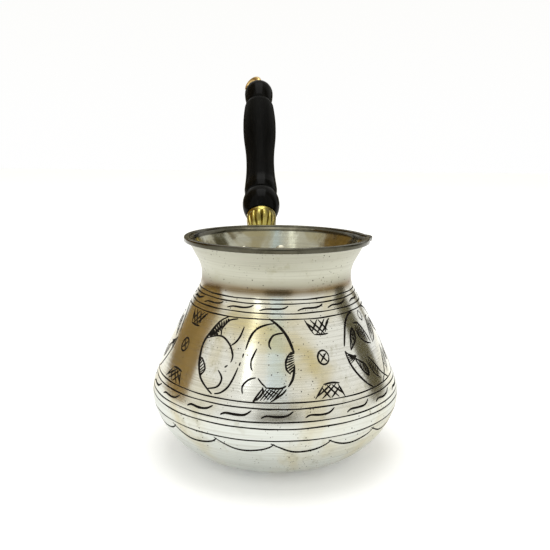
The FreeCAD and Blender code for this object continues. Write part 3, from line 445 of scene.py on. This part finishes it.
def wallAt(slant):
    # radius, height and outward normal (out, up) of the outer wall at a distance up it from the foot
    for index in range(len(outer) - 1):
        if slant <= travel[index + 1] or index == len(outer) - 2:
            share = (slant - travel[index]) / (travel[index + 1] - travel[index])
            near, far = Vector(outer[index]), Vector(outer[index + 1])
            way = (far - near).normalized()
            place = near.lerp(far, share)
            return place.x, place.y, Vector((way.y, -way.x))


def spoutLift(turn, radius, height):
    # how far out the spout's cone pushes the flare at this place, rounded where the two meet
    climb = height - (pot["height"] - spout["depth"])
    if climb <= 0 or abs(turn) > 0.5:
        return 0.0
    root = wallAt(travel[-1])[0] - spout["depth"] * math.tan(pot["flare"])
    middle = root + climb * math.tan(spout["lean"])
    reach = climb * math.tan(spout["flank"]) / math.cos(spout["lean"])
    aside = abs(middle * math.sin(turn))
    if aside < reach:
        out = middle * math.cos(turn) + math.sqrt(reach ** 2 - aside ** 2)
    else:
        out = middle * math.cos(turn) - (aside - reach) * 1.5
    soften = spout["soften"] * min(1, climb / (4 * mm))
    gap = max(soften - abs(out - radius), 0) / max(soften, 1e-9)
    return max(out, radius) + gap * gap * soften / 4 - radius


def flareRadius(height):
    start = outer[-7]
    return start[0] + (height - start[1]) * math.tan(pot["flare"])


def pushSpout(bm):
    for vert in bm.verts:
        if vert.co.z > pot["height"] - spout["depth"] and vert.co.x > 0:
            turn = math.atan2(vert.co.y, vert.co.x)
            lift = spoutLift(turn, flareRadius(vert.co.z), vert.co.z)
            vert.co.x += lift * math.cos(turn)
            vert.co.y += lift * math.sin(turn)


def makeWall():
    inner = wallOutline(pot["wall"], (6, 6, 6, 16, 9))
    inner += upFlare(inner[-1], pot["height"] - 0.7 * mm, 5)
    outline = [(0, 0)] + [(pot["base"] * share / 4, 0) for share in (1, 2, 3)] + outer[:-1]
    outline += [(mouth - 0.25 * mm, pot["height"] - 0.7 * mm)]
    outline += inner[::-1] + [(pot["base"] * share / 4, pot["wall"]) for share in (3, 2, 1)]
    outline += [(0, pot["wall"])]
    bm = spun(outline, pot["segments"])
    pushSpout(bm)
    for face in bm.faces:
        middle = face.calc_center_median()
        inwards = face.normal.x * middle.x + face.normal.y * middle.y < 0 or face.normal.z > 0.9
        face.material_index = 1 if inwards and middle.z > 1 * mm else 0
    return bm


def makeLip():
    # the edge turned outwards and down on itself, its free edge a hair off the flare
    top = pot["height"]
    rim = mouth + pot["lipProud"]
    low = top - pot["lipHeight"]
    inside = rim - pot["lipWidth"]
    soft = 0.62 * mm
    outline = [(inside - 0.16 * mm, top - 1.3 * mm)]
    outline += arcPoints((inside + soft, top - soft), soft,
                         (inside, top - soft), (inside + soft, top), 5)
    outline += arcPoints((rim - soft, top - soft), soft, (rim - soft, top), (rim, top - soft), 5)
    under = 0.4 * mm
    outline += arcPoints((rim - under, low + under), under,
                         (rim, low + under), (rim - under, low), 4)
    seat = flareRadius(low)
    outline += [(seat + 0.12 * mm, low + 0.05 * mm), (seat - 0.45 * mm, low + 0.5 * mm)]
    bm = spun(outline, pot["segments"])
    pushSpout(bm)
    return bm


# strokes are (degrees from the motif's middle, distance up the wall in mm)
engraving = {
    "line": 0.55,
    "stroke": 0.82,
    "hatch": 0.58,
    "swell": 1.5,
    "depth": 0.62,
    "front": -92.92,
    "rings": (31.5, 35.7, 37.75, 42.0, 43.9, 71.0, 73.0, 76.3, 77.8),
}
cuts = []


def stroke(points, width=None, middle=0.0, mirror=False):
    side = -1 if mirror else 1
    placed = [(middle + side * turn, slant) for turn, slant in points]
    cuts.append((placed, width or engraving["stroke"]))


def along(points, share):
    place = share * (len(points) - 1)
    index = min(int(place), len(points) - 2)
    part = place - index
    near, far = points[index], points[index + 1]
    return near[0] + (far[0] - near[0]) * part, near[1] + (far[1] - near[1]) * part


def hatch(first, second, count, width=None, middle=0.0, mirror=False, shift=0.0):
    # strokes from one line to another; shift slides their far ends along
    for index in range(count):
        share = (index + 0.5) / count
        end = min(max(share + shift, 0), 1)
        stroke([along(first, share), along(second, end)], width or engraving["hatch"], middle, mirror)


def lattice(first, second, count, middle, lean):
    # crossing strokes that stop at the sides of the shape between the two lines
    for slide in (lean, -lean):
        for index in range(count):
            begin = (index + 0.5) / count * (1 + lean) - max(slide, 0)
            ends = sorted((-begin / slide, (1 - begin) / slide))
            ends = (max(ends[0], 0), min(ends[1], 1))
            if ends[1] - ends[0] > 0.3:
                points = []
                for climb in ends:
                    near = Vector(along(first, begin + slide * climb))
                    points.append(tuple(near.lerp(Vector(along(second, begin + slide * climb)), climb)))
                stroke(points, engraving["hatch"], middle)


def swirlMedallion(middle):
    stroke([(-13.5, 70.9), (-19, 68.7), (-24, 63.5), (-25.6, 60), (-25.3, 57), (-24, 53.3), (-21, 49.3),
            (-17, 46.8), (-12.6, 44.7)], 0.8, middle)
    stroke([(-7, 70.5), (-12, 69.8), (-15, 67.8), (-16, 66), (-15.3, 64)], 0.6, middle)
    stroke([(-24.5, 62.2), (-21, 63.2), (-17, 63.9), (-14, 63.8), (-11, 62.8), (-8, 61), (-6, 58.5),
            (-5.8, 57), (-6.3, 55.8)], 0.6, middle)
    stroke([(-7.5, 54.8), (-9, 53.9)], 0.55, middle)
    hatch([(-24.3, 63.2), (-22, 65.9), (-18, 68.8), (-13, 70.4)],
          [(-22, 63.3), (-18.5, 63.9), (-16, 66), (-12.5, 69.5)], 11, 0.62, middle)
    hatch([(-24, 64), (-19, 68.3)], [(-17.5, 64.2), (-15.6, 67.6)], 5, 0.6, middle, False, -0.25)
    stroke([(-2.3, 68.1), (-3.5, 65), (-5.5, 62.7), (-8, 61.3)], 0.6, middle)
    stroke([(-12, 52.7), (-10, 51.3), (-9.2, 49.9), (-10, 48), (-12, 46.9), (-16, 46.1)], 0.62, middle)
    stroke([(-11.5, 45), (-8.5, 45.7), (-5.5, 47.8), (-3.5, 51), (-2, 54.5)], 0.6, middle)
    stroke([(-1.6, 55), (-1.2, 56.3)], 0.45, middle)
    stroke([(-0.5, 57.8), (-0.2, 59.3)], 0.45, middle)
    stroke([(0.5, 60.5), (1.5, 63.5), (3, 66), (6, 68), (10.5, 69.2), (15, 69.7)], 0.66, middle)
    leftMoon = [(-24.5, 55.5), (-23, 55.3), (-20.5, 53.5), (-19.5, 51.8), (-20.8, 50)]
    stroke(leftMoon, 0.55, middle)
    hatch(leftMoon, [(-24.8, 55), (-24.2, 53.4), (-22.6, 51), (-21.2, 49.6)],
          8, 0.42, middle, False, 0.1)
    stroke([(11.8, 71.3), (16, 69.7), (20, 67.3), (23, 64.3), (24.8, 61), (25.2, 59.5)], 0.8, middle)
    stroke([(25.2, 56), (24.6, 53), (23.5, 50.8), (21.8, 49)], 0.7, middle)
    stroke([(20.5, 66.5), (17.5, 66.3), (14.5, 65.6), (12.8, 63.9), (12.6, 62.3), (13.8, 61.1)],
           0.62, middle)
    stroke([(6.4, 61.2), (5, 59), (4.1, 57), (4.3, 55), (5.2, 53.9)], 0.55, middle)
    rightMoon = [(24, 60.3), (22, 58.7), (21, 56.7), (21.3, 54.5), (23.2, 53)]
    stroke(rightMoon, 0.6, middle)
    hatch(rightMoon, [(25.1, 60), (25.3, 58), (25.3, 56), (24.7, 53.4)], 9, 0.5, middle, False, -0.12)
    stroke([(7.2, 51.7), (4.5, 51.2), (2.2, 49.8), (1.2, 48.2), (1.8, 46.3)], 0.6, middle)
    stroke([(10.3, 48.8), (10.7, 47.5), (9.5, 45.8), (7.5, 44.6), (6.5, 44.1)], 0.6, middle)
    stroke([(8, 51.7), (10, 50), (12, 48.8)], 0.5, middle)
    footTop = [(11.5, 48.7), (18, 48.5), (21, 49.4)]
    footLeft = [(10.5, 48.5), (6.5, 44.2)]
    footRight = [(21, 48.3), (19, 46.7), (14, 44.2)]
    stroke(footTop, 0.6, middle)
    stroke(footLeft, 0.55, middle)
    stroke(footRight, 0.6, middle)
    hatch([(11.5, 48.5), (20.5, 48.7)], [(7.5, 44.4), (16, 45.0)], 6, 0.46, middle)
    hatch([(9.5, 47.2), (14, 48.4)], [(12, 44.6), (19, 46.9)], 3, 0.4, middle)


def flowerMedallion(middle):
    for mirror in (False, True):
        stroke([(-9, 70.7), (-14, 70), (-19, 67.5), (-22.5, 63.8), (-25.3, 60)], 0.8, middle, mirror)
        stroke([(-25.8, 58.5), (-25.3, 56), (-24, 53), (-21, 49.3), (-17, 46), (-13.5, 44.2)],
               0.75, middle, mirror)
        stroke([(-25.7, 58.5), (-23, 56.5), (-19, 55.9), (-24, 54)], 0.5, middle, mirror)
        hatch([(-25.6, 58), (-24.3, 54.4)], [(-20.5, 56.2), (-19.5, 55.7)], 5, 0.45, middle, mirror)
        for low, high, tip in (((-21.5, 58.2), (-13.5, 64.4), 1), ((-20.5, 55.4), (-13, 49.4), -1)):
            upper = [low, (low[0] * 0.62 + high[0] * 0.38, low[1] * 0.5 + high[1] * 0.5 + 1.5 * tip),
                     (low[0] * 0.2 + high[0] * 0.8, high[1] + 0.9 * tip), high]
            under = [low, (low[0] * 0.5 + high[0] * 0.5, low[1] * 0.62 + high[1] * 0.38 - 0.4 * tip),
                     (low[0] * 0.15 + high[0] * 0.85, low[1] * 0.35 + high[1] * 0.65 - 0.5 * tip), high]
            stroke(upper, 0.66, middle, mirror)
            stroke(under, 0.66, middle, mirror)
            hatch(upper[1:], under[1:], 7, 0.36, middle, mirror, 0.12)
            hatch(upper, under, 4, 0.34, middle, mirror, -0.2)
        stroke([(-12.2, 66.8), (-7, 66.2), (-3.2, 62.4), (-1.2, 58.4)], 0.66, middle, mirror)
        stroke([(-12, 65), (-11, 62), (-7, 59.3), (-1.2, 57.8)], 0.62, middle, mirror)
        hatch([(-11.5, 66), (-7, 65.6), (-4.2, 62.8)], [(-10.8, 62.4), (-7.6, 60.2), (-3.6, 59)],
              7, 0.46, middle, mirror)
        stroke([(-11, 55), (-6, 51), (-2, 47), (4, 44)], 0.66, middle, mirror)
        stroke([(-12.4, 53.6), (-9.5, 48.5), (-5, 45.6)], 0.55, middle, mirror)
        hatch([(-11, 54.4), (-4, 49)], [(-10.8, 50.6), (-6.2, 46.4)], 5, 0.5, middle, mirror)
    stroke([(0, 70.3), (-2.5, 68.4), (0, 66.4), (2.5, 68.4), (0, 70.3)], 0.5, middle)


def motifColumn(middle):
    cupLeft = [(-7.3, 70.6), (-3, 65.7)]
    cupRight = [(9.5, 70.4), (6.5, 69), (4.3, 66)]
    stroke(cupLeft, 0.55, middle)
    stroke(cupRight, 0.55, middle)
    stroke([(-3, 65.5), (2, 65.3), (6, 65.4)], 0.55, middle)
    lattice([(-7, 70.6), (9, 70.4)], [(-3, 65.6), (5.4, 65.5)], 5, middle, 0.6)
    ring = [(3.05 * math.cos(step * math.pi / 6), 57.7 + 2.35 * math.sin(step * math.pi / 6))
            for step in range(13)]
    stroke(ring, 0.62, middle)
    stroke([(-1.7, 59.2), (0, 57.6), (1.9, 56.2)], 0.56, middle)
    stroke([(1.8, 59.1), (0, 57.7), (-1.8, 56.3)], 0.56, middle)
    baseLeft = [(-2.5, 48.7), (-7, 44.6)]
    baseRight = [(5, 48.5), (7.5, 44)]
    stroke([(-2.5, 49), (2, 49.2), (6, 48.7)], 0.6, middle)
    stroke(baseLeft, 0.55, middle)
    stroke(baseRight, 0.55, middle)
    lattice([(-2.5, 48.8), (5.4, 48.6)], [(-6.6, 44.6), (7.2, 44.3)], 5, middle, 0.6)


def borderDashes():
    for index in range(20):
        start = -22.5 + index * 18 + random.uniform(-1.2, 1.2)
        lift = random.uniform(-0.15, 0.2)
        stroke([(start, 39 + lift), (start + 2.2, 39.8 + lift), (start + 6.5, 39.6),
                (start + 10.5, 39.9 + lift), (start + 13.2, 41.3)], random.uniform(0.6, 0.78))
    for index in range(16):
        start = 12.5 + index * 22.5 + random.uniform(-1.5, 1.5)
        drop = random.uniform(-0.12, 0.12)
        stroke([(start, 74 + drop), (start + 4.5, 74.7 + drop), (start + 11.5, 74.6),
                (start + 16, 75 + drop), (start + 18.5, 75.7)], random.uniform(0.5, 0.68))


def scallops():
    for index in range(15):
        start = -49 + index * 24 + random.uniform(-0.7, 0.7)
        low = 27 + random.uniform(-0.25, 0.25)
        stroke([(start - 0.8, 30.6), (start + 3.5, 28.7), (start + 8, low + 0.3), (start + 13, low),
                (start + 18.5, low + 0.7), (start + 22.5, 28.9), (start + 24.6, 30.5)],
               random.uniform(0.56, 0.7))


def strayTicks():
    for index in range(90):
        turn = random.uniform(-180, 180)
        slant = random.uniform(26, 78)
        stroke([(turn, slant), (turn + random.uniform(-0.7, 0.7), slant + random.uniform(-0.4, 0.4))],
               random.uniform(0.16, 0.3))


def wallPoint(turn, slant, proud):
    radius, height, normal = wallAt(slant * mm)
    angle = math.radians(turn + engraving["front"])
    out = radius + normal.x * proud
    return Vector((out * math.cos(angle), out * math.sin(angle), height + normal.y * proud))


def smoothed(points, parts):
    # a curve through the points, eased at each one
    if len(points) < 3:
        return [along(points, step / parts) for step in range(parts + 1)]
    ends = [points[0]] + list(points) + [points[-1]]
    found = []
    for a, b, c, d in zip(ends, ends[1:], ends[2:], ends[3:]):
        for step in range(parts):
            t = step / parts
            found.append(tuple(0.5 * (2 * q + (r - p) * t + (2 * p - 5 * q + 4 * r - s) * t * t
                                      + (3 * q - p - 3 * r + s) * t ** 3)
                               for p, q, r, s in zip(a, b, c, d)))
    return found + [points[-1]]


def cutterMesh(chosen, rings):
    # one closed tube for each chosen stroke, and a hoop for each ring
    curve = bpy.data.curves.new("graver", "CURVE")
    curve.dimensions = "3D"
    curve.bevel_depth = 1.0
    curve.bevel_resolution = 1
    curve.use_fill_caps = True
    curve.twist_mode = "Z_UP"
    for points, width in chosen:
        shaped = smoothed(points, 3)
        spline = curve.splines.new("POLY")
        spline.points.add(len(shaped) - 1)
        last = len(shaped) - 1
        for index, (turn, slant) in enumerate(shaped):
            share = index / last
            swell = 0.42 + 0.58 * math.sin(math.pi * min(max(share, 0), 1)) ** 0.6
            wobble = random.uniform(0.92, 1.08)
            radius = width * engraving["swell"] * mm / 2 * swell * wobble
            spline.points[index].co = (*wallPoint(turn, slant, radius * (1 - engraving["depth"])), 1)
            spline.points[index].radius = radius
    for slant in rings:
        spline = curve.splines.new("POLY")
        steps = 180
        spline.points.add(steps - 1)
        spline.use_cyclic_u = True
        for index in range(steps):
            waver = 0.06 * math.sin(index * 0.21 + slant) + 0.04 * math.sin(index * 0.57 + 2 * slant)
            uneven = 0.22 * math.sin(index * 0.37 + slant) * math.sin(index * 0.11)
            width = engraving["line"] * (1 + uneven)
            spline.points[index].co = (*wallPoint(index * 360 / steps, slant + waver, 0.08 * mm), 1)
            spline.points[index].radius = width * mm / 2
    holder = bpy.data.objects.new("graver", curve)
    scene.collection.objects.link(holder)
    mesh = evaluatedMesh(holder)
    bpy.data.objects.remove(holder)
    bm = bmesh.new()
    bm.from_mesh(mesh)
    bmesh.ops.remove_doubles(bm, verts=bm.verts, dist=1e-6)
    bmesh.ops.recalc_face_normals(bm, faces=bm.faces)
    return bm


def apart(strokes):
    # strokes in passes, so that no two of one pass touch
    passes = []
    for points, width in strokes:
        room = width * engraving["swell"] + 0.3
        turns = [turn for turn, slant in points]
        slants = [slant for turn, slant in points]
        box = (min(turns) - room * 2.2, max(turns) + room * 2.2, min(slants) - room, max(slants) + room)
        for chosen, boxes in passes:
            if all(box[0] > far[1] or box[1] < far[0] or box[2] > far[3] or box[3] < far[2]
                   for far in boxes):
                break
        else:
            chosen, boxes = [], []
            passes.append((chosen, boxes))
        chosen.append((points, width))
        boxes += [(box[0] + whole, box[1] + whole, box[2], box[3]) for whole in (-360, 0, 360)]
    print("engraving passes", len(passes))
    return [chosen for chosen, boxes in passes]


def engrave(wall):
    for middle in (-16, 131):
        swirlMedallion(middle)
    for middle in (-94, 64, 199):
        flowerMedallion(middle)
    for middle in (-56, 24.5, 97.5, 165, 232.5):
        motifColumn(middle)
    borderDashes()
    scallops()
    strayTicks()
    plain = wall.copy()
    plain.data = wall.data.copy()
    scene.collection.objects.link(plain)
    for chosen, rings in [([], engraving["rings"])] + [(group, ()) for group in apart(cuts)]:
        graver = newPiece("graver", cutterMesh(chosen, rings), ["patina"])
        boolean = wall.modifiers.new("engraving", "BOOLEAN")
        boolean.operation = "DIFFERENCE"
        boolean.solver = "MANIFOLD"
        boolean.material_mode = "TRANSFER"
        boolean.object = graver
        cut = evaluatedMesh(wall)
        wall.modifiers.clear()
        wall.data = cut
        bpy.data.objects.remove(graver)
    patina = cut.materials.find("black_patina")
    grooves = [face for face in cut.polygons if face.material_index == patina]
    print("engraved strokes", len(cuts), "groove faces", len(grooves), "faces", len(cut.polygons))
    # the plain wall keeps its smooth shading: its normals come back from the uncut shell
    keep = {vert for face in cut.polygons if face.material_index != patina for vert in face.vertices}
    group = wall.vertex_groups.new(name="plainWall")
    group.add(sorted(keep), 1.0, "REPLACE")
    bm = bmesh.new()
    bm.from_mesh(cut)
    for edge in bm.edges:
        if len({face.material_index == patina for face in edge.link_faces}) == 2:
            edge.smooth = False
    bm.to_mesh(cut)
    bm.free()
    shade = wall.modifiers.new("wallShading", "DATA_TRANSFER")
    shade.object = plain
    shade.use_loop_data = True
    shade.data_types_loops = {"CUSTOM_NORMAL"}
    shade.loop_mapping = "POLYINTERP_NEAREST"
    shade.vertex_group = "plainWall"
    final = evaluatedMesh(wall)
    wall.modifiers.clear()
    wall.data = final
    bpy.data.objects.remove(plain)


wallPiece = newPiece("pot_wall", makeWall(), ["tin", "inside"])
engrave(wallPiece)
lipPiece = newPiece("pot_lip", makeLip(), ["inside"])
for piece in (wallPiece, lipPiece):
    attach(piece, "root")
    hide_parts("pot_body")
print("pot ready")


def laidOnHandle(bm):
    # turned along Z, then tipped so that Z runs up the handle
    tip = Matrix.Rotation(-(math.pi / 2 - handle["rise"]), 4, "X")
    bmesh.ops.transform(bm, matrix=Matrix.Translation(handle["foot"]) @ tip, verts=bm.verts)
    return bm


cup = {
    "length": 10.5 * mm,
    "radius": 6.5 * mm,
    "waist": 2.2 * mm,
    "lipRadius": 6.3 * mm,
    "footRadius": 3.9 * mm,
    "bore": 4.7 * mm,
    "boreDepth": 6.0 * mm,
    "holeRadius": 2.15 * mm,
    "lobes": 12,
    "lobeDepth": 1.15 * mm,
}


def makeCup():
    # outside from the foot up to the lip, then down the socket and the rod's hole
    drop = cup["length"] - cup["waist"]
    gain = cup["radius"] - cup["footRadius"]
    sweep = (gain ** 2 + drop ** 2) / (2 * gain)
    centre = (cup["radius"] - sweep, -cup["waist"])
    foot = (cup["footRadius"], -cup["length"])
    side = arcPoints(centre, sweep, foot, (cup["radius"], -cup["waist"]), 18)
    outline = [(cup["footRadius"] - 0.35 * mm, -cup["length"]), foot] + side
    outline += [(cup["radius"] - 0.25 * mm, -cup["waist"] + 0.35 * mm),
                (cup["radius"] - 0.30 * mm, -cup["waist"] + 0.75 * mm)]
    outline += arcPoints((cup["lipRadius"] - 0.55 * mm, -0.65 * mm), 0.62 * mm,
                         (cup["lipRadius"], -1.1 * mm), (cup["lipRadius"] - 0.35 * mm, 0), 6)
    outline += [(cup["bore"], 0), (cup["bore"], -cup["boreDepth"]),
                (cup["holeRadius"], -cup["boreDepth"]), (cup["holeRadius"], -cup["length"])]
    bm = spun(outline, cup["lobes"] * 14)
    low = -cup["length"] + 0.7 * mm
    high = -cup["waist"] + 0.2 * mm
    for vert in bm.verts:
        radius = math.hypot(vert.co.x, vert.co.y)
        if radius > cup["holeRadius"] + 1.2 * mm and low < vert.co.z < high:
            swell = math.sin(math.pi * (vert.co.z - low) / (high - low)) ** 0.45
            turn = math.atan2(vert.co.y, vert.co.x)
            crease = (1 - abs(math.sin(turn * cup["lobes"] / 2))) ** 2.4
            less = cup["lobeDepth"] * swell * crease
            if radius - less > cup["bore"] + 0.25 * mm or vert.co.z < -cup["boreDepth"]:
                vert.co.x *= (radius - less) / radius
                vert.co.y *= (radius - less) / radius
    return laidOnHandle(bm)


cupPiece = newPiece("brass_cup", makeCup(), ["polished"])
cupPiece.data.set_sharp_from_angle(angle=math.radians(38))
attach(cupPiece, "root")
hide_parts("handle_cup")
print("cup ready")


# parts kept as designed, each with its finish
designed = {
    "handle_bracket": "cast",
    "bracket_rivets": "copper",
    "handle_rod": "steel",
    "handle_grip": "wood",
    "hanging_hook": "aged",
}
for node, finish in designed.items():
    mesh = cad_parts[node].data
    mesh.materials.clear()
    mesh.materials.append(finishes[finish])
print("designed parts finished")


# floor, light and camera
studio = {
    "floor": tone(0.92, 0.92, 0.92),
    "floorHalf": 3.0,
    "floorGap": 0.05 * mm,
    "sky": 1.0,
    "camera": Vector((-12.7, -248.6, 112.6)) * mm,
    "cameraTurn": math.radians(-2.80),
    "cameraTilt": math.radians(79.34),
    "cameraRoll": math.radians(0.63),
    "lens": 44.58,
}


def paintFloor(where):
    cloud = where.noise(6, 2, 0.5)
    base = cloud.range(0.3, 0.7).blend(studio["floor"], tone(0.91, 0.91, 0.91))
    return {"Base Color": base, "Roughness": 0.9, "Specular IOR Level": 0.1,
            "Emission Color": tone(1, 1, 1), "Emission Strength": 0.13}


floorMesh = bmesh.new()
bmesh.ops.create_grid(floorMesh, x_segments=2, y_segments=2, size=studio["floorHalf"])
bmesh.ops.translate(floorMesh, vec=(0, 0, -studio["floorGap"]), verts=floorMesh.verts)
finishes["floor"] = newMaterial("floor_paper", paintFloor)
floor = newPiece("floor", floorMesh, ["floor"], False)


def areaLight(name, place, aim, width, height, power, colour):
    lamp = bpy.data.lights.new(name, "AREA")
    lamp.shape = "RECTANGLE"
    lamp.size = width
    lamp.size_y = height
    lamp.energy = power
    lamp.color = colour
    holder = bpy.data.objects.new(name, lamp)
    way = Vector(aim) - Vector(place)
    holder.matrix_world = Matrix.Translation(place) @ way.to_track_quat("-Z", "Y").to_matrix().to_4x4()
    scene.collection.objects.link(holder)


areaLight("overhead", (0, 0.1, 1.4), (0, 0, 0.04), 0.9, 0.9, 6.5, (1, 1, 1))
areaLight("window", (-0.42, -0.66, 0.7), (0, 0, 0.07), 0.12, 0.5, 0.35, (0.90, 0.96, 1))


def card(name, turn, distance, width, low, high, colour):
    # a coloured board beside the set; the pot mirrors it and the camera doesn't see it
    angle = math.radians(turn - 90)
    middle = Vector((math.cos(angle) * distance, math.sin(angle) * distance, (low + high) / 2))
    facing = Matrix.Rotation(angle + math.pi / 2, 4, "Z") @ Matrix.Rotation(math.pi / 2, 4, "X")
    shape = Matrix.Translation(middle) @ facing @ Matrix.Diagonal((width, high - low, 1, 1))
    bm = bmesh.new()
    bmesh.ops.create_grid(bm, x_segments=1, y_segments=1, size=0.5, matrix=shape)

    def paintCard(where):
        cloud = where.noise(5, 2, 0.5)
        shade = tone(*[part * 0.7 for part in colour[:3]])
        return {"Base Color": cloud.range(0.3, 0.7).blend(colour, shade),
                "Roughness": 0.9}

    finishes[name] = newMaterial(name, paintCard)
    board = newPiece(name, bm, [name], False)
    board.visible_camera = False
    board.visible_diffuse = False
    board.visible_shadow = False


card("left_board", -116, 0.6, 0.62, 0.03, 1.6, tone(0.27, 0.165, 0.035))
card("right_board", 104, 0.6, 0.26, 0.03, 1.6, tone(0.095, 0.082, 0.034))
card("sky_board", -2, 0.6, 0.21, 0.30, 1.3, tone(0.74, 0.87, 1.0))
card("back_board", 180, 0.75, 1.5, 0.06, 0.34, tone(0.20, 0.17, 0.10))
card("lens_board", 0, 0.7, 0.5, 0.02, 0.30, tone(0.20, 0.18, 0.14))

world = bpy.data.worlds.new("studio")
scene.world = world
world.use_nodes = True
tree = world.node_tree
direction = Sock(tree).add("ShaderNodeTexCoord", None, None, 0)
up = direction.add("ShaderNodeSeparateXYZ", None, {"Vector": direction}, 2)
glow = up.range(-0.1, 0.7).blend(tone(1, 1, 1), tone(0.95, 0.94, 0.89))
background = tree.nodes["Background"]
tree.links.new(glow.socket, background.inputs["Color"])
background.inputs["Strength"].default_value = studio["sky"]

lens = bpy.data.cameras.new("camera")
lens.lens = studio["lens"]
lens.sensor_width = 36
lens.clip_start = 0.01
lens.clip_end = 20
camera = bpy.data.objects.new("camera", lens)
aim = Matrix.Rotation(studio["cameraTurn"], 4, "Z") @ Matrix.Rotation(studio["cameraTilt"], 4, "X") \
    @ Matrix.Rotation(studio["cameraRoll"], 4, "Z")
camera.matrix_world = Matrix.Translation(studio["camera"]) @ aim
scene.collection.objects.link(camera)
scene.camera = camera
scene.view_settings.view_transform = "Standard"
print("studio ready")
